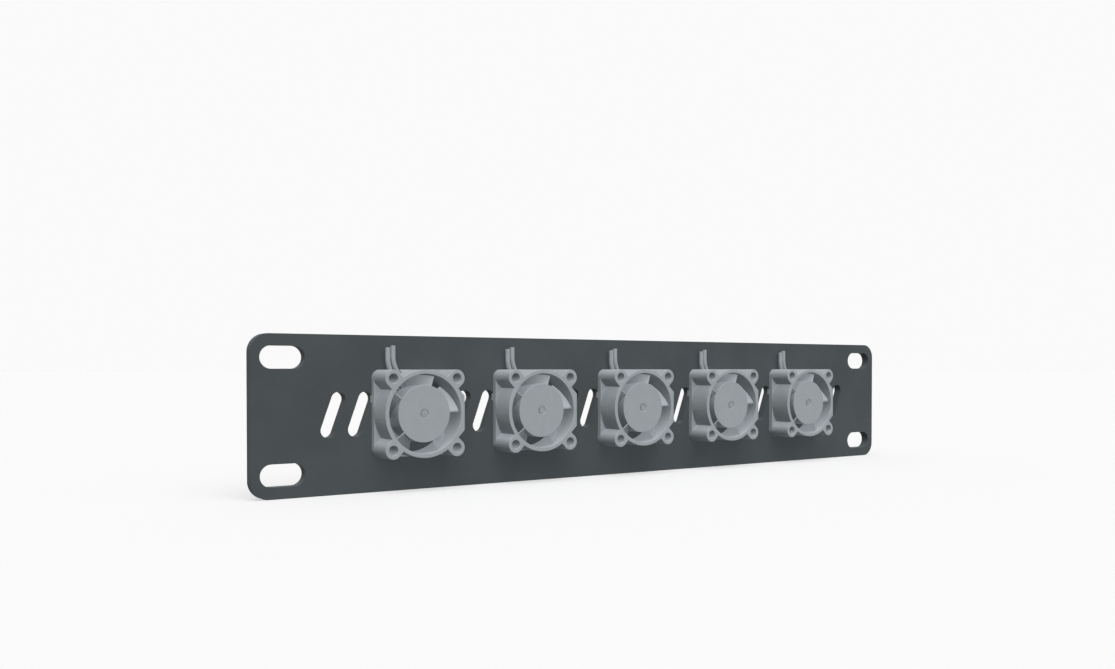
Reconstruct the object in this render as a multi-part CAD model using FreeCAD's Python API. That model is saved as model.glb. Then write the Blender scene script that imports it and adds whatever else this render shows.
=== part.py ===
# Ten-inch, one-unit rack panel that carries five 25 mm axial fans side by side.
# Frame: +X along the panel to the right as seen from its front, +Z up, and the front looks along -Y.
# The origin is the centre of the rear face, which lies against the rack rails. Millimetres and degrees.
import FreeCAD, Part
import math
import os

# Panel: one unit high, for a ten-inch rack
panel_width = 254.0
panel_height = 44.45
panel_thickness = 3.0
panel_corner_radius = 5.0
rack_slot_inset_x = 8.7375
rack_slot_inset_z = 6.35
rack_slot_length = 12.5
rack_slot_width = 6.2

# Leaning air slots in one row along the whole panel, as many as fit between its ends
vent_pitch = 8.0
vent_end_distance = 23.0
vent_height = 12.7
vent_width = 4.2
vent_lean = 20.0

# Row of fans, each seated in a shallow square pocket
fan_count = 5
fan_pitch = 40.0
pocket_depth = 1.0
pocket_clearance = 0.1

# Fan frame, one moulding
fan_size = 25.0
fan_depth = 10.0
fan_hole_spacing = 20.0
fan_hole_diameter = 2.8
duct_wall = 1.2
flange_thickness = 2.4
side_pad_length = 10.0
side_pad_depth = 2.5
base_diameter = 16.0
base_thickness = 1.2
strut_count = 3
strut_width = 1.6
strut_height = 2.0
strut_direction = 130.0
strut_offset = 2.86
channel_floor = 0.5
channel_wall = 0.5
bearing_tube_wall = 0.58

# Rotor
hub_diameter = 16.3
hub_recess = 1.0
hub_wall = 0.9
hub_front_wall = 1.0
hub_base_gap = 1.4
blade_count = 5
blade_first_angle = 1.0
blade_sweep = 40.0
blade_camber = 0.2
blade_width = 0.5
blade_rear_gap = 0.4
blade_tip_gap = 0.3
yoke_wall = 0.4
magnet_thickness = 1.0
magnet_rear_gap = 0.6
shaft_diameter = 2.0

# Stator, bearing and circuit board
bearing_wall = 0.87
clip_diameter = 3.2
clip_thickness = 0.3
shaft_groove_depth = 0.25
stator_air_gap = 0.3
stator_ring_wall = 0.7
pole_count = 4
pole_arm_width = 1.4
pole_shoe_depth = 0.7
pole_shoe_angle = 66.0
coil_width = 3.0
coil_end_gap = 0.8
coil_overhang = 0.6
coil_radial_gap = 0.15
board_diameter = 12.6
board_thickness = 0.6

# Two lead stubs side by side, how far above the fan they turn upright, and where each is cut off
lead_diameter = 1.5
lead_spacing = 1.6
lead_turn_rise = 0.77
lead_cut_rises = (6.3, 6.85)
lead_panel_gap = 0.65
lead_bend_radius = 7.2

# Countersunk screws from behind, through the panel into two opposite corner holes of each fan
screw_head_diameter = 4.6
screw_head_sink = 0.05
screw_length = 6.0
screw_hole_clearance = 0.2
screw_recess_width = 0.6
screw_recess_length = 2.2
screw_recess_depth = 0.7

# Clearances between pieces: pressed or seated ones, the shaft in its bearing, ends that must not touch
seat_gap = 0.02
shaft_run_gap = 0.03
end_gap = 0.2

# Places that follow from the sizes above. In a fan's own frame z runs forward from its rear face.
rack_spacing_x = panel_width - 2 * rack_slot_inset_x
rack_spacing_z = panel_height - 2 * rack_slot_inset_z
vent_count = int((panel_width - 2 * vent_end_distance) / vent_pitch) + 1
pocket_floor = panel_thickness - pocket_depth
fan_places = [(i - (fan_count - 1) / 2) * fan_pitch for i in range(fan_count)]
lug_radius = (fan_size - fan_hole_spacing) / 2
fan_hole_radius = fan_hole_diameter / 2
duct_radius = fan_size / 2 - duct_wall
hub_radius = hub_diameter / 2
hub_front = fan_depth - hub_recess
hub_rear = base_thickness + hub_base_gap
shaft_radius = shaft_diameter / 2
yoke_radius = hub_radius - hub_wall - seat_gap
yoke_inner_front = hub_front - hub_front_wall - seat_gap - yoke_wall
magnet_radius = yoke_radius - yoke_wall - seat_gap
magnet_rear = hub_rear + magnet_rear_gap
stator_radius = magnet_radius - magnet_thickness - stator_air_gap
bearing_radius = shaft_radius + shaft_run_gap + bearing_wall
tube_bore = bearing_radius + seat_gap
tube_radius = tube_bore + bearing_tube_wall
tube_front = yoke_inner_front - 2 * end_gap
shaft_rear = base_thickness + end_gap
clip_rear = shaft_rear + end_gap
bearing_rear = clip_rear + clip_thickness + end_gap
board_rear = base_thickness + seat_gap
board_front = board_rear + board_thickness
coil_rear = board_front + coil_end_gap
coil_front = yoke_inner_front - coil_end_gap
lead_radius = lead_diameter / 2
channel_width = lead_spacing + lead_diameter + end_gap
lead_inner_z = channel_floor + lead_radius + seat_gap
lead_outer_z = pocket_depth + lead_panel_gap + lead_radius
channel_top = lead_outer_z + lead_radius + end_gap
screw_head_radius = screw_head_diameter / 2
screw_hole_radius = fan_hole_radius + screw_hole_clearance

ORIGIN = FreeCAD.Vector(0, 0, 0)
FORWARD = FreeCAD.Vector(0, 0, 1)


def turned(x, y, degrees):
    """The point (x, y) turned about the origin, in the plane of the panel."""
    a = math.radians(degrees)
    return FreeCAD.Vector(x * math.cos(a) - y * math.sin(a), x * math.sin(a) + y * math.cos(a), 0)


def drum(radius, low, high, x=0.0, y=0.0):
    """A round solid from one height to another."""
    return Part.makeCylinder(radius, high - low, FreeCAD.Vector(x, y, low), FORWARD)


def sink(wide, narrow, low, x, y):
    """A right-angled cone for a countersunk head, wide end at the height given."""
    return Part.makeCone(wide, narrow, wide - narrow, FreeCAD.Vector(x, y, low), FORWARD)


def ring(outer, inner, low, high):
    """A round solid with a hole along its axis."""
    return drum(outer, low, high).cut(drum(inner, low - 1, high + 1))


def rounded_plate(width, height, radius, low, high):
    """A plate with rounded corners."""
    x = width / 2 - radius
    y = height / 2 - radius
    r = radius
    edges = []
    corners = ((x, y, 0), (-x, y, 90), (-x, -y, 180), (x, -y, 270))
    for i, (cx, cy, start) in enumerate(corners):
        nx, ny, _ = corners[(i + 1) % 4]
        centre = FreeCAD.Vector(cx, cy, low)
        edges.append(Part.makeCircle(r, centre, FORWARD, start, start + 90))
        out = turned(r, 0, start + 90)
        edges.append(Part.makeLine(centre + out, FreeCAD.Vector(nx, ny, low) + out))
    face = Part.Face(Part.Wire(edges))
    return face.extrude(FORWARD * (high - low))


def slot(length, width, low, high):
    """A slot with round ends along X."""
    r = width / 2
    x = length / 2 - r
    right = FreeCAD.Vector(x, 0, low)
    left = FreeCAD.Vector(-x, 0, low)
    up = FreeCAD.Vector(0, r, 0)
    edges = [
        Part.makeCircle(r, right, FORWARD, -90, 90),
        Part.makeLine(right + up, left + up),
        Part.makeCircle(r, left, FORWARD, 90, 270),
        Part.makeLine(left - up, right - up),
    ]
    return Part.Face(Part.Wire(edges)).extrude(FORWARD * (high - low))


def bar(start, end, near, far, low, high, direction):
    """A straight bar along a direction in the plane, from start to end, between two offsets to its right."""
    box = Part.makeBox(end - start, far - near, high - low, FreeCAD.Vector(start, -far, low))
    return box.rotate(ORIGIN, FORWARD, direction)


def around(shape, count):
    """Copies of a shape evenly about the axis."""
    copies = []
    for i in range(count):
        copies.append(shape.copy().rotate(ORIGIN, FORWARD, 360.0 * i / count))
    return copies


def tangent_tube(points, bend_radius, radius):
    """A round tube through three points, with one tangent arc at the middle point."""
    first, corner, last = points
    back = (first - corner).normalize()
    on = (last - corner).normalize()
    half = back.getAngle(on) / 2
    reach = bend_radius / math.tan(half)
    inward = (back + on).normalize()
    centre = corner + inward * (bend_radius / math.sin(half))
    a = corner + back * reach
    b = corner + on * reach
    arc = Part.Arc(a, centre - inward * bend_radius, b).toShape()
    path = Part.Wire([Part.makeLine(first, a), arc, Part.makeLine(b, last)])
    section = Part.Wire([Part.makeCircle(radius, first, back * -1)])
    return path.makePipeShell([section], True, False)


def fan_holes():
    """Centres of a fan's four corner holes, anticlockwise from the top right."""
    h = fan_hole_spacing / 2
    return [(h, h), (-h, h), (-h, -h), (h, -h)]


def screwed_holes():
    """The two opposite corner holes that take a screw."""
    return fan_holes()[0::2]


def panel():
    """Flat panel with its rack slots, leaning air slots, square pockets and screw holes."""
    solid = rounded_plate(panel_width, panel_height, panel_corner_radius, 0, panel_thickness)
    cuts = []
    through = (-1, panel_thickness + 1)
    for x in (-rack_spacing_x / 2, rack_spacing_x / 2):
        for y in (-rack_spacing_z / 2, rack_spacing_z / 2):
            cut = slot(rack_slot_length, rack_slot_width, *through)
            cuts.append(cut.translate(FreeCAD.Vector(x, y, 0)))
    straight = (vent_height - vent_width) / math.cos(math.radians(vent_lean))
    for i in range(vent_count):
        cut = slot(straight + vent_width, vent_width, *through).rotate(ORIGIN, FORWARD, 90 - vent_lean)
        cuts.append(cut.translate(FreeCAD.Vector((i - (vent_count - 1) / 2) * vent_pitch, 0, 0)))
    side = fan_size + 2 * pocket_clearance
    for x in fan_places:
        pocket = rounded_plate(side, side, lug_radius + pocket_clearance, pocket_floor, panel_thickness + 1)
        cuts.append(pocket.translate(FreeCAD.Vector(x, 0, 0)))
        for hx, hy in screwed_holes():
            cuts.append(drum(screw_hole_radius, *through, x + hx, hy))
            cuts.append(sink(screw_head_radius + seat_gap + 1, screw_hole_radius, -1, x + hx, hy))
    return solid.cut(cuts)


def frame():
    """Fan frame: flange, round duct, four corner lugs, one side pad, struts, motor base and bearing tube."""
    side = fan_size / 2
    duct = drum(side, flange_thickness, fan_depth)
    end = side_pad_length / 2
    inner = side - side_pad_depth
    corners = ((side, -end), (side, end), (inner, end + side_pad_depth), (inner, -end - side_pad_depth))
    outline = [FreeCAD.Vector(x, y, 0) for x, y in corners + corners[:1]]
    pad = Part.Face(Part.makePolygon(outline)).extrude(FORWARD * fan_depth)
    reach = math.hypot(fan_hole_spacing, fan_hole_spacing) / 2
    lug = drum(lug_radius, flange_thickness, fan_depth, reach, 0)
    lug = lug.fuse(bar(0, reach, -lug_radius, lug_radius, flange_thickness, fan_depth, 0))
    lug.rotate(ORIGIN, FORWARD, 45)
    flange = rounded_plate(fan_size, fan_size, lug_radius, 0, flange_thickness)
    solid = flange.fuse([duct, pad] + around(lug, 4))
    solid = solid.cut([drum(duct_radius, -1, fan_depth + 1)])
    seat = duct_radius + duct_wall / 2
    struts = []
    for i in range(strut_count):
        half = channel_width / 2 + channel_wall if i == 0 else strut_width / 2
        end = math.sqrt(seat ** 2 - strut_offset ** 2)
        turn = strut_direction + 360.0 * i / strut_count
        struts.append(bar(0, end, strut_offset - half, strut_offset + half, 0, strut_height, turn))
    base = drum(base_diameter / 2, 0, base_thickness)
    struts = [s.cut(drum(base_diameter / 2 - channel_wall, base_thickness, fan_depth)) for s in struts]
    solid = solid.fuse(struts + [base, drum(tube_radius, 0, tube_front)])
    half = channel_width / 2
    groove_start = math.sqrt(board_diameter ** 2 / 4 - (strut_offset + half) ** 2) - channel_wall
    groove = bar(groove_start, fan_size, strut_offset - half, strut_offset + half,
                 channel_floor, channel_top, strut_direction)
    holes = [drum(fan_hole_radius, -1, fan_depth + 1, x, y) for x, y in fan_holes()]
    bore = drum(tube_bore, base_thickness, fan_depth)
    room = leads(end_gap / 2).Solids
    return solid.cut([groove, bore] + room + holes).removeSplitter()


def blade():
    """One twisted blade, straight and radial at its front edge, its root sunk in the hub's wall."""
    rear = hub_rear + blade_rear_gap
    root = hub_radius - hub_wall / 2
    tip = duct_radius - blade_tip_gap
    sections = []
    steps = 4
    for i in range(steps + 1):
        u = i / steps
        angle = blade_sweep * (u + blade_camber * u * (1 - u))
        z = FORWARD * (hub_front - (hub_front - rear) * u)
        corners = []
        for x, y in ((root - 1, 0), (tip + 1, 0), (tip + 1, blade_width), (root - 1, blade_width)):
            corners.append(turned(x, y, angle) + z)
        sections.append(Part.makePolygon(corners + corners[:1]))
    twisted = Part.makeLoft(sections, True, False)
    return twisted.common(ring(tip, root, rear - 1, fan_depth))


def impeller():
    """Moulded rotor: a cup-shaped hub with its blades."""
    hub = drum(hub_radius, hub_rear, hub_front)
    hub = hub.cut(drum(hub_radius - hub_wall, hub_rear - 1, hub_front - hub_front_wall))
    hub = hub.cut(drum(shaft_radius + seat_gap, hub_rear, fan_depth))
    blades = around(blade().rotate(ORIGIN, FORWARD, blade_first_angle), blade_count)
    return hub.fuse(blades).removeSplitter()


def yoke():
    """Steel cup pressed into the hub."""
    cup = drum(yoke_radius, magnet_rear, yoke_inner_front + yoke_wall)
    cup = cup.cut(drum(yoke_radius - yoke_wall, magnet_rear - 1, yoke_inner_front))
    return cup.cut(drum(tube_radius, hub_rear, fan_depth))


def magnet():
    """Ring magnet inside the steel cup."""
    return ring(magnet_radius, magnet_radius - magnet_thickness, magnet_rear, yoke_inner_front - seat_gap)


def shaft():
    """Steel shaft with the groove that its clip sits in."""
    rod = drum(shaft_radius, shaft_rear, hub_front)
    groove = ring(shaft_radius + 1, shaft_radius - shaft_groove_depth, clip_rear, clip_rear + clip_thickness)
    return rod.cut(groove)


def clip():
    """Thin washer in the shaft's groove, which stops the rotor from lifting out."""
    inner = shaft_radius - shaft_groove_depth + seat_gap
    return ring(clip_diameter / 2, inner, clip_rear + seat_gap, clip_rear + clip_thickness - seat_gap)


def bearing():
    """Sintered sleeve pressed into the frame's tube."""
    return ring(bearing_radius, shaft_radius + shaft_run_gap, bearing_rear, tube_front)


def stator_core():
    """Stack of steel laminations: a ring on the bearing tube, arms and curved pole shoes."""
    low = coil_rear + coil_overhang
    high = coil_front - coil_overhang
    inner = tube_radius + seat_gap
    solid = ring(inner + stator_ring_wall, inner, low, high)
    rim = ring(stator_radius, stator_radius - pole_shoe_depth, low, high)
    half = pole_shoe_angle / 2
    reach = 2 * stator_radius
    corners = [ORIGIN, turned(reach, 0, -half), turned(reach, 0, half), ORIGIN]
    wedge = Part.Face(Part.makePolygon(corners)).extrude(FORWARD * fan_depth)
    shoe = rim.common(wedge)
    arm = bar(inner + stator_ring_wall / 2, stator_radius - pole_shoe_depth / 2,
              -pole_arm_width / 2, pole_arm_width / 2, low, high, 0)
    return solid.fuse(around(shoe.fuse(arm), pole_count)).removeSplitter()


def windings():
    """Four separate coils, one around each arm of the core."""
    start = tube_radius + seat_gap + stator_ring_wall + coil_radial_gap
    end = math.sqrt((stator_radius - pole_shoe_depth) ** 2 - coil_width ** 2 / 4) - coil_radial_gap
    coil = bar(start, end, -coil_width / 2, coil_width / 2, coil_rear, coil_front, 0)
    half = pole_arm_width / 2 + seat_gap
    hole = bar(start - 1, end + 1, -half, half, coil_rear + coil_overhang - seat_gap,
               coil_front - coil_overhang + seat_gap, 0)
    return Part.Compound(around(coil.cut(hole), pole_count))


def circuit_board():
    """Round board on the motor base, under the coils."""
    return ring(board_diameter / 2, tube_radius + seat_gap, board_rear, board_front)


def leads(room=0.0):
    """Two lead stubs from the board's edge, along the channel, out at the top and up along the panel."""
    pair = []
    along = turned(1, 0, strut_direction)
    right = turned(0, -1, strut_direction)
    run = (fan_size / 2 + lead_turn_rise - right.y * strut_offset) / along.y
    pair_x = right.x * strut_offset + along.x * run
    for side, rise in zip((-1, 1), lead_cut_rises):
        offset = strut_offset + side * lead_spacing / 2
        start = math.sqrt((board_diameter / 2 + seat_gap) ** 2 - max(0, offset - lead_radius) ** 2)
        x = pair_x + side * lead_spacing / 2
        run = (x - right.x * offset) / along.x
        first = right * offset + along * start + FORWARD * lead_inner_z
        corner = right * offset + along * run + FORWARD * lead_outer_z
        last = FreeCAD.Vector(x, fan_size / 2 + rise, lead_outer_z)
        pair.append(tangent_tube((first, corner, last), lead_bend_radius, lead_radius + room))
    return Part.Compound(pair)


def screws():
    """Short self-tapping screws, all alike, their cross-recessed heads just below the panel's rear face."""
    radius = fan_hole_radius - seat_gap
    screw = drum(radius, screw_head_sink, screw_length)
    screw = screw.fuse(sink(screw_head_radius - screw_head_sink, radius, screw_head_sink, 0, 0))
    half = screw_recess_width / 2
    reach = screw_recess_length / 2
    for turn in (45, 135):
        screw = screw.cut(bar(-reach, reach, -half, half, -1, screw_head_sink + screw_recess_depth, turn))
    solids = []
    for x in fan_places:
        for hx, hy in screwed_holes():
            solids.append(screw.copy().translate(FreeCAD.Vector(x + hx, hy, 0)))
    return Part.Compound(solids)


def placed(shape, x=0.0, z=0.0):
    """A shape stood up so that its forward axis looks along -Y, then set in its place along the panel."""
    solid = shape.copy().translate(FreeCAD.Vector(x, 0, z))
    return solid.rotate(ORIGIN, FreeCAD.Vector(1, 0, 0), 90)


def save(shape, name):
    shape.exportStep(os.path.join("parts", name + ".step"))


os.makedirs("parts", exist_ok=True)
save(placed(panel()), "panel")
save(placed(screws()), "fan_screws")
fan_pieces = {
    "frame": frame(),
    "impeller": impeller(),
    "rotor_yoke": yoke(),
    "rotor_magnet": magnet(),
    "shaft": shaft(),
    "shaft_clip": clip(),
    "sleeve_bearing": bearing(),
    "stator_core": stator_core(),
    "windings": windings(),
    "circuit_board": circuit_board(),
    "leads": leads(),
}
for number, place in enumerate(fan_places, 1):
    for name, piece in fan_pieces.items():
        save(placed(piece, place, pocket_floor), f"fan_{number}_{name}")
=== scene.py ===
import math
import bmesh
import bpy
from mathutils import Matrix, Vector


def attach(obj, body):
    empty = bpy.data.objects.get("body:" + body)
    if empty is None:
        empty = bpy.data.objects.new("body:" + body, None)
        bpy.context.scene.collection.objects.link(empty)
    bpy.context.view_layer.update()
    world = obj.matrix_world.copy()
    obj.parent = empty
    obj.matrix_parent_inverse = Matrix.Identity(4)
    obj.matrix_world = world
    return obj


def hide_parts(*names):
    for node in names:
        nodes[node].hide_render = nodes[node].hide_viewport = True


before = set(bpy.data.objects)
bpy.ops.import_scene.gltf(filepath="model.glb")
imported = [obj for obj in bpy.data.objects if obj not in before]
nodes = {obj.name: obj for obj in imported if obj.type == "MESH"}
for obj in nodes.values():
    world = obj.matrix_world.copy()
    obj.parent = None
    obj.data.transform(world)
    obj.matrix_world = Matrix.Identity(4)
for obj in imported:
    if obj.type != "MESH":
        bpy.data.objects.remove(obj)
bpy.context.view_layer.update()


# Panel: a flat steel plate, 3 mm thick, cut to outline with its rack slots and one row of leaning air
# slots. Five shallow square pockets seat the fans, and each has two screw holes countersunk from behind.
# The whole plate is powder coated after cutting, so the coat rounds its edges slightly.
panel_width = 0.254
panel_height = 0.04445
panel_corner = 0.005
plate_front = -0.003
rack_slot_x = 0.1182625
rack_slot_z = 0.015875
rack_slot_length = 0.0125
rack_slot_width = 0.0062
vent_count = 27
vent_pitch = 0.008
vent_height = 0.0127
vent_width = 0.0042
vent_lean = 20
fan_centres = (-0.08, -0.04, 0.0, 0.04, 0.08)
fan_hole_offset = 0.01
fan_rear = -0.002
pocket_side = 0.0252
pocket_corner = 0.0026
screw_hole_radius = 0.0016
sink_radius = 0.00232
coat_rounding = 0.00022


def take(piece):
    """Selects one piece alone and makes it the active one."""
    bpy.ops.object.select_all(action="DESELECT")
    piece.select_set(True)
    bpy.context.view_layer.objects.active = piece


def block(width, height, front, rear, x=0.0, z=0.0, corner=0.0, steps=1, lean=0.0):
    """A block from its front to its rear, its edges along Y rounded, then turned by lean degrees."""
    bpy.ops.object.select_all(action="DESELECT")
    bpy.ops.mesh.primitive_cube_add(size=1, scale=(width, rear - front, height))
    bpy.ops.object.transform_apply(location=True, rotation=True, scale=True)
    made = bpy.context.object
    if corner:
        bpy.ops.object.mode_set(mode="EDIT")
        bpy.ops.mesh.select_mode(type="EDGE")
        bpy.ops.mesh.select_all(action="DESELECT")
        edit = bmesh.from_edit_mesh(made.data)
        for edge in edit.edges:
            edge.select_set(abs(edge.verts[0].co.y - edge.verts[1].co.y) > (rear - front) / 2)
        bmesh.update_edit_mesh(made.data)
        bpy.ops.mesh.bevel(offset=corner, segments=steps, affect="EDGES", clamp_overlap=False)
        bpy.ops.mesh.select_all(action="SELECT")
        bpy.ops.mesh.remove_doubles(threshold=1e-7)
        bpy.ops.object.mode_set(mode="OBJECT")
    made.rotation_euler = (0, math.radians(-lean), 0)
    made.location = (x, (front + rear) / 2, z)
    bpy.ops.object.transform_apply(location=True, rotation=True, scale=True)
    return made


def drum(radius, front, rear, x=0.0, z=0.0, sides=96, rear_radius=None):
    """A round bar along Y from its front to its rear, or a cone where the rear radius differs."""
    bpy.ops.object.select_all(action="DESELECT")
    other = radius if rear_radius is None else rear_radius
    bpy.ops.mesh.primitive_cone_add(vertices=sides, radius1=radius, radius2=other, depth=rear - front,
                                    location=(x, (front + rear) / 2, z), rotation=(-math.pi / 2, 0, 0))
    bpy.ops.object.transform_apply(location=True, rotation=True, scale=True)
    return bpy.context.object


def work(piece, tools, operation="DIFFERENCE"):
    """Cuts a piece with other shapes, joins them to it or trims it by them, and uses them up."""
    bpy.ops.object.select_all(action="DESELECT")
    for tool in tools:
        tool.select_set(True)
    bpy.context.view_layer.objects.active = tools[0]
    if len(tools) > 1:
        bpy.ops.object.join()
    bpy.context.view_layer.objects.active = piece
    shaping = piece.modifiers.new("shape", "BOOLEAN")
    shaping.operation = operation
    shaping.object = tools[0]
    shaping.solver = "EXACT"
    bpy.ops.object.modifier_apply(modifier=shaping.name)
    bpy.data.objects.remove(tools[0])
    bpy.ops.object.mode_set(mode="EDIT")
    bpy.ops.mesh.select_all(action="SELECT")
    bpy.ops.mesh.remove_doubles(threshold=2e-6)
    bpy.ops.mesh.dissolve_degenerate(threshold=2e-6)
    bpy.ops.object.mode_set(mode="OBJECT")


def ease(piece, width):
    """Rounds a piece's sharp edges, unless the width is 0, and shades it so that flat faces stay flat."""
    take(piece)
    if width:
        rounding = piece.modifiers.new("edges", "BEVEL")
        rounding.width = width
        rounding.segments = 2
        rounding.limit_method = "ANGLE"
        rounding.angle_limit = math.radians(32)
        bpy.ops.object.modifier_apply(modifier=rounding.name)
    bpy.ops.object.shade_smooth_by_angle(angle=math.radians(50))
    weighting = piece.modifiers.new("shading", "WEIGHTED_NORMAL")
    weighting.keep_sharp = True
    bpy.ops.object.modifier_apply(modifier=weighting.name)


def linear(code):
    """The linear colour of an sRGB hex code."""
    parts = [int(code[i:i + 2], 16) / 255 for i in (0, 2, 4)]
    return [p / 12.92 if p <= 0.04045 else ((p + 0.055) / 1.055) ** 2.4 for p in parts] + [1.0]


def add(material, kind, settings=None, **inputs):
    """Adds one node. Settings are its own properties, and an input is a value or another node's output."""
    made = material.node_tree.nodes.new(kind)
    for name, value in (settings or {}).items():
        setattr(made, name, value)
    for name, value in inputs.items():
        socket = made.inputs[name.replace("_", " ")]
        if isinstance(value, bpy.types.NodeSocket):
            material.node_tree.links.new(value, socket)
        else:
            socket.default_value = value
    return made


def blank(name):
    """A material with nothing in it yet."""
    made = bpy.data.materials.new(name)
    made.use_nodes = True
    made.node_tree.nodes.clear()
    return made


def between(material, amount, low, high, dark, light):
    """A colour that runs from dark to light as amount goes from low to high."""
    made = add(material, "ShaderNodeValToRGB", Fac=amount)
    for stop, place, code in zip(made.color_ramp.elements, (low, high), (dark, light)):
        stop.position = place
        stop.color = linear(code)
    return made.outputs["Color"]


# Cured powder: low sheen, a fine orange peel about 0.6 mm from crest to crest, and a tone that drifts a
# little over some 20 mm, as on any oven-baked coat.
powder_coat = blank("powder_coated_steel")
place = add(powder_coat, "ShaderNodeTexCoord").outputs["Object"]
peel = add(powder_coat, "ShaderNodeTexNoise", Vector=place, Scale=1 / 0.0006, Detail=2.0, Roughness=0.5)
drift = add(powder_coat, "ShaderNodeTexNoise", Vector=place, Scale=1 / 0.02, Detail=3.0, Roughness=0.6)
tone = between(powder_coat, drift.outputs["Fac"], 0.35, 0.65, "494e50", "4e5355")
sheen = add(powder_coat, "ShaderNodeMapRange", Value=peel.outputs["Fac"], To_Min=0.56, To_Max=0.68)
relief = add(powder_coat, "ShaderNodeBump", Height=peel.outputs["Fac"], Strength=0.25, Distance=0.00004)
coat = add(powder_coat, "ShaderNodeBsdfPrincipled", Base_Color=tone,
           Roughness=sheen.outputs["Result"], Normal=relief.outputs["Normal"])
coat.inputs["Specular IOR Level"].default_value = 0.05
add(powder_coat, "ShaderNodeOutputMaterial", Surface=coat.outputs["BSDF"])

panel = block(panel_width, panel_height, plate_front, 0, corner=panel_corner, steps=16)
panel.name = "plate"
cut_past = 0.002
cut_front = plate_front - cut_past
pockets = []
for x in fan_centres:
    pockets.append(block(pocket_side, pocket_side, cut_front, fan_rear, x, corner=pocket_corner, steps=8))
rack_slots = []
for x in (-rack_slot_x, rack_slot_x):
    for z in (-rack_slot_z, rack_slot_z):
        rack_slots.append(block(rack_slot_length, rack_slot_width, cut_front, cut_past, x, z,
                                corner=rack_slot_width / 2, steps=14))
work(panel, pockets + rack_slots)
air_slots = []
vent_length = (vent_height - vent_width) / math.cos(math.radians(vent_lean)) + vent_width
for i in range(vent_count):
    x = (i - (vent_count - 1) / 2) * vent_pitch
    air_slots.append(block(vent_width, vent_length, cut_front, cut_past, x,
                           corner=vent_width / 2, steps=10, lean=-vent_lean))
work(panel, air_slots)
drilled = []
sunk = []
sink_depth = sink_radius - screw_hole_radius
sink_past = 0.0005
drill_front = plate_front - sink_past
drill_rear = 0.0015
for x in fan_centres:
    for side in (-1, 1):
        hole = (x + side * fan_hole_offset, side * fan_hole_offset)
        drilled.append(drum(screw_hole_radius, drill_front, drill_rear, *hole, sides=32))
        sunk.append(drum(screw_hole_radius, -sink_depth, sink_past, *hole, sides=32,
                         rear_radius=sink_radius + sink_past))
work(panel, drilled)
work(panel, sunk)
ease(panel, coat_rounding)
panel.data.materials.append(powder_coat)
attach(panel, "panel_and_frames")
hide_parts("panel")


# Fan frames: one moulding of glass-filled polyester each. A square flange stands in the pocket, and from it
# rise the round duct, four corner lugs with their screw holes and a flat pad on one side. Three slanting
# struts carry the motor's base and bearing tube, and the widest one is a channel for the leads.
fan_size = 0.025
fan_front = -0.012
lug_radius = 0.0025
fan_hole_radius = 0.0014
flange_front = fan_rear - 0.0024
flange_rounding = 0.00015
front_rounding = 0.00012
outline_angle = 0.6
duct_radius = 0.0113
pad_inner = 0.0099
pad_root = 0.0152
pad_face = 0.01
strut_widths = (0.0043, 0.0016, 0.0016)
strut_direction = 130
strut_offset = 0.00286
strut_reach = 0.01155
strut_height = 0.002
strut_lap = 0.0005
base_radius = 0.008
base_front = fan_rear - 0.0012
base_middle = fan_rear - 0.0006
tube_radius = 0.0025
tube_bore = 0.00192
tube_length = 0.00718
groove_start = 0.0039
groove_length = 0.0211
groove_width = 0.0033
groove_floor = 0.0005
groove_top = 0.00335
lead_radius = 0.00075
lead_bend = 0.0072
lead_room = 0.0001


def copy_along(piece, name, number):
    """A copy of the middle fan's piece, with its own mesh, moved to another fan's place."""
    take(piece)
    bpy.ops.object.duplicate()
    made = bpy.context.object
    made.name = f"fan_{number}_{name}"
    made.location.x = fan_centres[number - 1]
    bpy.ops.object.transform_apply(location=True, rotation=True, scale=True)
    return made


def select_faces(piece, wanted):
    """Opens a piece in edit mode with only the wanted faces selected."""
    take(piece)
    bpy.ops.object.mode_set(mode="EDIT")
    bpy.ops.mesh.select_mode(type="FACE")
    bpy.ops.mesh.select_all(action="DESELECT")
    edit = bmesh.from_edit_mesh(piece.data)
    for face in edit.faces:
        face.select_set(wanted(face))
    bmesh.update_edit_mesh(piece.data)


def ease_front(piece, front):
    """Rounds the outlines in a moulding's front face."""
    take(piece)
    bpy.ops.object.mode_set(mode="EDIT")
    bpy.ops.mesh.select_mode(type="EDGE")
    bpy.ops.mesh.select_all(action="DESELECT")
    edit = bmesh.from_edit_mesh(piece.data)
    for edge in edit.edges:
        in_front = all(abs(corner.co.y - front) < 1e-6 for corner in edge.verts)
        edge.select_set(edge.is_manifold and edge.calc_face_angle() > outline_angle and in_front)
    bmesh.update_edit_mesh(piece.data)
    bpy.ops.mesh.bevel(offset=front_rounding, segments=2, affect="EDGES", clamp_overlap=False)
    bpy.ops.object.mode_set(mode="OBJECT")


def beside_axis(direction, distance):
    """The place at a distance along a direction in degrees, on the line that the struts are offset to."""
    turn = math.radians(direction)
    x = math.cos(turn) * distance + math.sin(turn) * strut_offset
    z = math.sin(turn) * distance - math.cos(turn) * strut_offset
    return x, z


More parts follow.
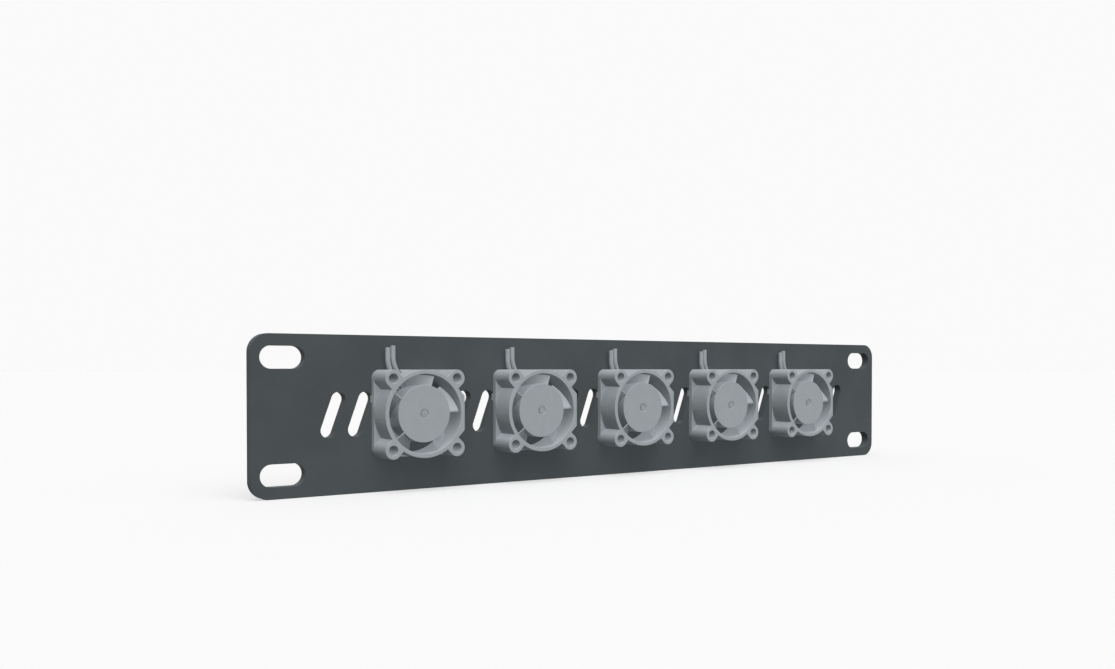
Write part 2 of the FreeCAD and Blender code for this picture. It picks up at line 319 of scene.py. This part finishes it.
def lead_tube(first, corner, last, radius):
    """A round tube from first to last, turning near the corner with an arc of the leads' bend radius."""
    back = (first - corner).normalized()
    on = (last - corner).normalized()
    half = back.angle(on) / 2
    centre = corner + (back + on).normalized() * lead_bend / math.sin(half)
    first_spoke = (corner + back * lead_bend / math.tan(half) - centre).normalized()
    last_spoke = (corner + on * lead_bend / math.tan(half) - centre).normalized()
    arc_steps = 16
    route = [first]
    for i in range(arc_steps + 1):
        route.append(centre + first_spoke.slerp(last_spoke, i / arc_steps) * lead_bend)
    route.append(last)
    path = bpy.data.curves.new("lead", "CURVE")
    path.dimensions = "3D"
    spline = path.splines.new("POLY")
    spline.points.add(len(route) - 1)
    for point, place in zip(spline.points, route):
        point.co = (*place, 1)
    path.bevel_depth = radius
    path.bevel_resolution = 6
    path.use_fill_caps = True
    tube = bpy.data.objects.new("lead", path)
    bpy.context.scene.collection.objects.link(tube)
    take(tube)
    bpy.ops.object.convert(target="MESH")
    bpy.ops.object.mode_set(mode="EDIT")
    bpy.ops.mesh.select_all(action="SELECT")
    bpy.ops.mesh.remove_doubles(threshold=1e-7)
    bpy.ops.mesh.normals_make_consistent(inside=False)
    bpy.ops.object.mode_set(mode="OBJECT")
    return bpy.context.object


past = 0.001
casing = block(fan_size, fan_size, flange_front, fan_rear + past, corner=lug_radius, steps=8)
select_faces(casing, lambda face: face.normal.y < -0.9)
bpy.ops.mesh.region_to_loop()
bpy.ops.mesh.bevel(offset=flange_rounding, segments=2, affect="EDGES")
bpy.ops.object.mode_set(mode="OBJECT")

# The shapes that join the flange start inside it and reach past the fan's front, each a little further than
# the last, and are trimmed later. Their sides stop a little short of the flange's, so that shapes that
# overlap have no faces in one plane.
inside_flange = fan_rear - 0.001
beyond = fan_front - past
stagger = 0.0001
hair = 0.00001
work(casing, [drum(fan_size / 2 - hair, beyond, inside_flange)], "UNION")
for i, lean in enumerate((45, -45)):
    near = beyond - (i + 1) * stagger
    far = inside_flange - (i + 1) * stagger
    bar = block(2 * fan_hole_offset * math.sqrt(2), 2 * lug_radius - stagger, near, far, lean=lean)
    work(casing, [bar], "UNION")
corners = [(x, z) for x in (-fan_hole_offset, fan_hole_offset) for z in (-fan_hole_offset, fan_hole_offset)]
lugs = []
for x, z in corners:
    lugs.append(drum(lug_radius - hair, beyond - 3 * stagger, inside_flange - 3 * stagger, x, z, sides=32))
work(casing, lugs, "UNION")
pad_outer = fan_size / 2 - hair
pad = block(pad_outer - pad_inner, pad_root, beyond - 4 * stagger, inside_flange - 4 * stagger,
            (pad_inner + pad_outer) / 2)
select_faces(pad, lambda face: face.normal.x > 0.9)
bpy.ops.transform.resize(value=(1, 1, pad_face / pad_root))
bpy.ops.object.mode_set(mode="OBJECT")
work(casing, [pad], "UNION")
work(casing, [drum(duct_radius, beyond - past, fan_rear + 2 * past)])

# The struts are thin inside the base and end behind the fan's rear, like the base, until they are trimmed.
thin_front = fan_rear - 0.001
for i, width in enumerate(strut_widths):
    direction = strut_direction + 360 / len(strut_widths) * i
    behind = fan_rear + 2 * stagger + stagger * i
    strut = block(strut_reach, width, fan_rear - strut_height, behind,
                  *beside_axis(direction, strut_reach / 2), lean=direction)
    work(strut, [drum(base_radius - strut_lap, fan_rear - strut_height - past, thin_front)])
    work(casing, [strut], "UNION")
work(casing, [drum(base_radius, base_front, fan_rear + 6 * stagger)], "UNION")
work(casing, [drum(tube_radius, fan_rear - tube_length, base_middle, sides=48)], "UNION")
bore_front = fan_rear - 0.008
work(casing, [drum(tube_bore, bore_front, base_front - hair, sides=48)])
groove = block(groove_length, groove_width, fan_rear - groove_top, fan_rear - groove_floor,
               *beside_axis(strut_direction, groove_start + groove_length / 2), lean=strut_direction)
work(casing, [groove])

# Each lead's end at the board, the corner that it turns at above the fan, and its cut end.
lead_routes = (
    (Vector((-0.002396, -0.00327, 0.00606)), Vector((-0.0082, -0.0044, 0.01298)),
     Vector((-0.0082, -0.0044, 0.0188))),
    (Vector((-0.000802, -0.00327, 0.00665)), Vector((-0.0066, -0.0044, 0.01356)),
     Vector((-0.0066, -0.0044, 0.01935))),
)
for first, corner, last in lead_routes:
    work(casing, [lead_tube(first, corner, last, lead_radius + lead_room)])
holes = []
for x, z in corners:
    holes.append(drum(fan_hole_radius, beyond - past, fan_rear + 2 * past, x, z, sides=32))
work(casing, holes)
trim_side = 0.03
trim_depth = 0.003
work(casing, [block(trim_side, trim_side, fan_front - trim_depth, fan_front)])
work(casing, [block(trim_side, trim_side, fan_rear, fan_rear + trim_depth)])
ease_front(casing, fan_front)
ease(casing, 0)

# Moulded polyester: dull and even, with the fine spark-eroded grain of its mould, drawn 0.35 mm coarse so
# that it shows, and the faint flow marks of the glass filling.
fan_moulding = blank("glass_filled_polyester")
place = add(fan_moulding, "ShaderNodeTexCoord").outputs["Object"]
grain = add(fan_moulding, "ShaderNodeTexNoise", Vector=place, Scale=1 / 0.00035, Detail=2.0, Roughness=0.6)
flow = add(fan_moulding, "ShaderNodeTexNoise", Vector=place, Scale=1 / 0.006, Detail=4.0, Roughness=0.6,
           Distortion=0.6)
tone = between(fan_moulding, flow.outputs["Fac"], 0.3, 0.7, "92989c", "989ea2")
sheen = add(fan_moulding, "ShaderNodeMapRange", Value=grain.outputs["Fac"], To_Min=0.5, To_Max=0.62)
relief = add(fan_moulding, "ShaderNodeBump", Height=grain.outputs["Fac"], Strength=0.3, Distance=0.00002)
plastic = add(fan_moulding, "ShaderNodeBsdfPrincipled", Base_Color=tone, IOR=1.57,
              Roughness=sheen.outputs["Result"], Normal=relief.outputs["Normal"])
plastic.inputs["Specular IOR Level"].default_value = 0.4
add(fan_moulding, "ShaderNodeOutputMaterial", Surface=plastic.outputs["BSDF"])
casing.data.materials.append(fan_moulding)
for number in (1, 2, 3, 4, 5):
    piece = copy_along(casing, "casing", number)
    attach(piece, "panel_and_frames")
    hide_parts(f"fan_{number}_frame")
bpy.data.objects.remove(casing)


# Impellers: a hub cup with five thin twisted blades, moulded in one piece in the same polyester. The
# blades start straight and radial at the front and sweep round towards the rear.
hub_radius = 0.00815
hub_wall = 0.0009
hub_front = fan_rear - 0.009
hub_rear = fan_rear - 0.0026
hub_cup_depth = 0.0054
shaft_hole_radius = 0.00102
shaft_ring_radius = 0.00132
shaft_ring_depth = 0.00026
blade_root = 0.0076
blade_tip = 0.011
blade_width = 0.0005
blade_rear = fan_rear - 0.003
blade_count = 5
blade_first_angle = 1
blade_sweep = 40
blade_camber = 0.2
blade_steps = 10
rotor = drum(hub_radius, hub_front - 3 * stagger, hub_rear)
select_faces(rotor, lambda face: face.normal.y > 0.9)
bpy.ops.mesh.inset(thickness=hub_wall)
bpy.ops.mesh.extrude_region_move(TRANSFORM_OT_translate={"value": (0, -hub_cup_depth, 0)})
bpy.ops.object.mode_set(mode="OBJECT")
work(rotor, [drum(shaft_hole_radius, hub_front - past, hub_rear, sides=32)])
work(rotor, [drum(shaft_ring_radius, hub_front - 4 * stagger, hub_front + shaft_ring_depth, sides=32)])

# One blade grows from a thin strip in front of the hub, straight at first and then turned a little more
# at each step. It is trimmed to the round of its tip, and the strip in front of the hub comes off last.
blade_reach = blade_tip + past - blade_root
blade_lead_in = 0.0006
bpy.ops.object.select_all(action="DESELECT")
bpy.ops.mesh.primitive_plane_add(size=1, rotation=(math.pi / 2, 0, 0))
blade = bpy.context.object
blade.scale = (blade_reach, blade_width, 1)
blade.location = (blade_root + blade_reach / 2, hub_front - blade_lead_in, blade_width / 2)
bpy.ops.object.transform_apply(location=True, rotation=True, scale=True)
bpy.ops.object.mode_set(mode="EDIT")
bpy.ops.mesh.select_all(action="SELECT")
bpy.ops.mesh.extrude_region_move(TRANSFORM_OT_translate={"value": (0, blade_lead_in, 0)})
advance = (blade_rear - hub_front) / blade_steps
turned = 0.0
for i in range(blade_steps):
    u = (i + 1) / blade_steps
    turn = blade_sweep * (u + blade_camber * u * (1 - u))
    bpy.ops.mesh.extrude_region_move(TRANSFORM_OT_translate={"value": (0, advance, 0)})
    bpy.ops.transform.rotate(value=math.radians(turn - turned), orient_axis="Y", center_override=(0, 0, 0))
    turned = turn
bpy.ops.mesh.select_all(action="SELECT")
bpy.ops.mesh.normals_make_consistent(inside=False)
bpy.ops.object.mode_set(mode="OBJECT")
work(blade, [drum(blade_tip, hub_front - past, hub_rear)], "INTERSECT")
for i in range(blade_count):
    take(blade)
    bpy.ops.object.duplicate()
    placed = bpy.context.object
    placed.rotation_euler = (0, -math.radians(blade_first_angle + 360 / blade_count * i), 0)
    bpy.ops.object.transform_apply(location=True, rotation=True, scale=True)
    work(rotor, [placed], "UNION")
bpy.data.objects.remove(blade)
work(rotor, [block(trim_side, trim_side, hub_front - 2 * past, hub_front)])
ease_front(rotor, hub_front)
ease(rotor, 0)

# The impeller's own batch of the same plastic, run in a polished mould: a little smoother than the frame.
rotor_moulding = blank("polished_mould_polyester")
place = add(rotor_moulding, "ShaderNodeTexCoord").outputs["Object"]
flow = add(rotor_moulding, "ShaderNodeTexNoise", Vector=place, Scale=1 / 0.004, Detail=4.0, Roughness=0.6,
           Distortion=0.8)
tone = between(rotor_moulding, flow.outputs["Fac"], 0.3, 0.7, "93999d", "979da1")
fine = add(rotor_moulding, "ShaderNodeTexNoise", Vector=place, Scale=1 / 0.0003, Detail=1.0)
sheen = add(rotor_moulding, "ShaderNodeMapRange", Value=fine.outputs["Fac"], To_Min=0.42, To_Max=0.52)
relief = add(rotor_moulding, "ShaderNodeBump", Height=fine.outputs["Fac"], Strength=0.15, Distance=0.00001)
plastic = add(rotor_moulding, "ShaderNodeBsdfPrincipled", Base_Color=tone, IOR=1.57,
              Roughness=sheen.outputs["Result"], Normal=relief.outputs["Normal"])
plastic.inputs["Specular IOR Level"].default_value = 0.4
add(rotor_moulding, "ShaderNodeOutputMaterial", Surface=plastic.outputs["BSDF"])
rotor.data.materials.append(rotor_moulding)
for number in (1, 2, 3, 4, 5):
    piece = copy_along(rotor, "rotor", number)
    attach(piece, f"rotor_{number}")
    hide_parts(f"fan_{number}_impeller")
bpy.data.objects.remove(rotor)


# Leads: two short stubs of insulated stranded wire a fan. They run from the board along the channelled
# strut, come out beside the top left lug, turn upright in front of the panel and are cut off square.
sleeve_bore = 0.00042
sleeve_bore_depth = 0.0003
wire_count = 7
wire_radius = 0.00013
wire_ring = 0.00027
wire_half_length = 0.00015
wire_depth = 0.0002


def upright(radius, half_length, centre, sides):
    """A round bar along Z with its middle at the centre given."""
    made = drum(radius, -half_length, half_length, sides=sides)
    made.rotation_euler = (math.pi / 2, 0, 0)
    made.location = centre
    bpy.ops.object.transform_apply(location=True, rotation=True, scale=True)
    return made


def joined(pieces):
    """Several shapes as one piece."""
    bpy.ops.object.select_all(action="DESELECT")
    for each in pieces:
        each.select_set(True)
    bpy.context.view_layer.objects.active = pieces[0]
    bpy.ops.object.join()
    return bpy.context.object


tubes = []
strands = []
for first, corner, last in lead_routes:
    tube = lead_tube(first, corner, last, lead_radius)
    work(tube, [upright(sleeve_bore, sleeve_bore_depth, last, sides=24)])
    tubes.append(tube)
    for k in range(wire_count):
        spread = 0.0 if k == 0 else wire_ring
        turn = math.radians(360 / (wire_count - 1) * k)
        centre = last + Vector((spread * math.cos(turn), spread * math.sin(turn), -wire_depth))
        strands.append(upright(wire_radius, wire_half_length, centre, sides=12))
sleeve = joined(tubes)
ease(sleeve, 0)
core = joined(strands)
ease(core, 0)

# Extruded PVC: smooth and slightly glossy, its tone a little cloudy.
lead_sleeve = blank("extruded_pvc")
place = add(lead_sleeve, "ShaderNodeTexCoord").outputs["Object"]
cloud = add(lead_sleeve, "ShaderNodeTexNoise", Vector=place, Scale=1 / 0.0008, Detail=2.0)
tone = between(lead_sleeve, cloud.outputs["Fac"], 0.3, 0.7, "92989c", "989ea2")
vinyl = add(lead_sleeve, "ShaderNodeBsdfPrincipled", Base_Color=tone, Roughness=0.42)
vinyl.inputs["Specular IOR Level"].default_value = 0.4
add(lead_sleeve, "ShaderNodeOutputMaterial", Surface=vinyl.outputs["BSDF"])
sleeve.data.materials.append(lead_sleeve)

# Tinned copper strands: pale bright metal, a little uneven where they were cut.
tinned_copper = blank("tinned_copper")
place = add(tinned_copper, "ShaderNodeTexCoord").outputs["Object"]
cut = add(tinned_copper, "ShaderNodeTexNoise", Vector=place, Scale=1 / 0.0001, Detail=2.0)
tone = between(tinned_copper, cut.outputs["Fac"], 0.3, 0.7, "b08a6a", "cfc8bd")
tin = add(tinned_copper, "ShaderNodeBsdfPrincipled", Base_Color=tone, Metallic=1.0, Roughness=0.35)
add(tinned_copper, "ShaderNodeOutputMaterial", Surface=tin.outputs["BSDF"])
core.data.materials.append(tinned_copper)
for number in (1, 2, 3, 4, 5):
    piece = copy_along(sleeve, "lead_sleeves", number)
    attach(piece, "panel_and_frames")
    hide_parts(f"fan_{number}_leads")
    ends = copy_along(core, "lead_strands", number)
    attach(ends, "panel_and_frames")
bpy.data.objects.remove(sleeve)
bpy.data.objects.remove(core)


# Motor parts: steel shaft with its nylon washer, drawn steel cup, ferrite ring magnet, sintered bearing,
# laminated core, copper coils and glass epoxy board. They are the solids themselves in their own finishes,
# with fine rings on the turned metals and lines for the core's laminations and the coils' wire.
def turned_metal(name, dark, light, ring_step, roughness):
    """A metal with fine rings round the fan's axis, their crests about 6.3 ring steps apart."""
    metal = blank(name)
    spot = add(metal, "ShaderNodeTexCoord").outputs["Object"]
    rings = add(metal, "ShaderNodeTexWave", {"wave_type": "BANDS", "bands_direction": "Y"}, Vector=spot,
                Scale=1 / ring_step / 20, Distortion=1.5, Detail=2.0)
    worn = add(metal, "ShaderNodeTexNoise", Vector=spot, Scale=1 / 0.0008, Detail=3.0)
    colour = between(metal, worn.outputs["Fac"], 0.3, 0.7, dark, light)
    lines = add(metal, "ShaderNodeBump", Height=rings.outputs["Fac"], Strength=0.2, Distance=0.00001)
    surface = add(metal, "ShaderNodeBsdfPrincipled", Base_Color=colour, Metallic=1.0, Roughness=roughness,
                  Normal=lines.outputs["Normal"])
    add(metal, "ShaderNodeOutputMaterial", Surface=surface.outputs["BSDF"])
    return metal


def dull(name, dark, light, grain_size, roughness):
    """A pressed or moulded material with a speckle of the size given."""
    made = blank(name)
    spot = add(made, "ShaderNodeTexCoord").outputs["Object"]
    speckle = add(made, "ShaderNodeTexNoise", Vector=spot, Scale=1 / grain_size, Detail=3.0)
    colour = between(made, speckle.outputs["Fac"], 0.35, 0.65, dark, light)
    lift = add(made, "ShaderNodeBump", Height=speckle.outputs["Fac"], Strength=0.2, Distance=0.00002)
    surface = add(made, "ShaderNodeBsdfPrincipled", Base_Color=colour, Roughness=roughness,
                  Normal=lift.outputs["Normal"])
    add(made, "ShaderNodeOutputMaterial", Surface=surface.outputs["BSDF"])
    return made


finishes = {
    "shaft": turned_metal("ground_steel", "8c9194", "999ea1", 0.00005, 0.3),
    "rotor_yoke": turned_metal("drawn_plated_steel", "8f9396", "a3a7aa", 0.0003, 0.35),
    "sleeve_bearing": turned_metal("sintered_bronze", "7d5c38", "96734a", 0.0002, 0.5),
    "stator_core": turned_metal("electrical_steel_laminations", "55585b", "666a6d", 0.0005, 0.45),
    "windings": turned_metal("enamelled_copper_wire", "8d4a2a", "a55e38", 0.00015, 0.25),
    "rotor_magnet": dull("bonded_ferrite", "29292a", "323233", 0.0004, 0.7),
    "shaft_clip": dull("nylon", "dedbd2", "e8e5dc", 0.0006, 0.45),
    "circuit_board": dull("glass_epoxy_board", "2a5237", "346040", 0.0005, 0.4),
}
for number in (1, 2, 3, 4, 5):
    for part, finish in finishes.items():
        nodes[f"fan_{number}_{part}"].material_slots[0].material = finish


# Screws: short steel screws with countersunk cross-recessed heads, two to a fan, driven from behind
# through the panel into opposite corners of the fan. Their zinc plating has a faint uneven bloom.
zinc = blank("zinc_plated_steel")
place = add(zinc, "ShaderNodeTexCoord").outputs["Object"]
bloom = add(zinc, "ShaderNodeTexNoise", Vector=place, Scale=1 / 0.0012, Detail=4.0, Roughness=0.65)
tone = between(zinc, bloom.outputs["Fac"], 0.3, 0.7, "84888b", "a0a3a2")
sheen = add(zinc, "ShaderNodeMapRange", Value=bloom.outputs["Fac"], To_Min=0.3, To_Max=0.45)
plated = add(zinc, "ShaderNodeBsdfPrincipled", Base_Color=tone, Metallic=1.0,
             Roughness=sheen.outputs["Result"])
add(zinc, "ShaderNodeOutputMaterial", Surface=plated.outputs["BSDF"])
nodes["fan_screws"].material_slots[0].material = zinc


# Stage: a plain pale floor that the panel's lower edge stands on, under even, soft studio light from the
# front and above. The camera sees the floor and backdrop nearly white; the panel is lit by a greyer floor.
floor_height = -0.02225
floor_side = 30


def as_seen(surface, lighting, visible):
    """Lights the object by one shader, and shows the other to the camera and in reflections."""
    rays = add(surface, "ShaderNodeLightPath")
    seen = add(surface, "ShaderNodeMath", {"operation": "MAXIMUM"})
    chosen = add(surface, "ShaderNodeMixShader", Fac=seen.outputs["Value"])
    surface.node_tree.links.new(rays.outputs["Is Camera Ray"], seen.inputs[0])
    surface.node_tree.links.new(rays.outputs["Is Glossy Ray"], seen.inputs[1])
    surface.node_tree.links.new(lighting, chosen.inputs[1])
    surface.node_tree.links.new(visible, chosen.inputs[2])
    return chosen.outputs["Shader"]


floor_paint = blank("studio_floor")
grey = add(floor_paint, "ShaderNodeBsdfDiffuse", Color=linear("7c7c7c"))
pale = add(floor_paint, "ShaderNodeBsdfDiffuse", Color=linear("dcdcdc"))
add(floor_paint, "ShaderNodeOutputMaterial",
    Surface=as_seen(floor_paint, grey.outputs["BSDF"], pale.outputs["BSDF"]))
bpy.ops.object.select_all(action="DESELECT")
bpy.ops.mesh.primitive_plane_add(size=floor_side, location=(0, 0, floor_height))
floor = bpy.context.object
floor.name = "floor"
bpy.ops.object.transform_apply(location=True, rotation=True, scale=True)
floor.data.materials.append(floor_paint)

backdrop = bpy.data.worlds.new("studio")
backdrop.use_nodes = True
bpy.context.scene.world = backdrop
backdrop.node_tree.nodes.clear()
soft = add(backdrop, "ShaderNodeBackground", Color=linear("ffffff"), Strength=0.3)
white = add(backdrop, "ShaderNodeBackground", Color=linear("fafafa"), Strength=1.0)
add(backdrop, "ShaderNodeOutputWorld",
    Surface=as_seen(backdrop, soft.outputs["Background"], white.outputs["Background"]))

# Two broad lamps shine from one place. Only the weaker one casts shadows, so that they stay soft and pale.
toward_key = Vector((-0.19, -0.51, 0.84))
for name, strength, shaded in (("key_light", 1.0, True), ("fill_light", 2.9, False)):
    bpy.ops.object.select_all(action="DESELECT")
    bpy.ops.object.light_add(type="SUN", location=toward_key)
    lamp = bpy.context.object
    lamp.name = name
    lamp.data.energy = strength
    lamp.data.angle = math.radians(60)
    lamp.data.use_shadow = shaded
    lamp.rotation_euler = (-toward_key).to_track_quat("-Z", "Y").to_euler()

# The camera looks at the panel from the left, a little downwards, as fitted to the photograph.
camera_tilt = 0.016
camera_turn = -0.606284
bpy.ops.object.camera_add(location=(-0.211152, -0.266179, 0.01287),
                          rotation=(math.pi / 2 - camera_tilt, 0, camera_turn))
camera = bpy.context.object
camera.data.sensor_width = 36
camera.data.lens = 32.462
camera.data.shift_y = 0.04474
camera.data.clip_start = 0.01
bpy.context.scene.camera = camera
bpy.context.scene.view_settings.view_transform = "Standard"
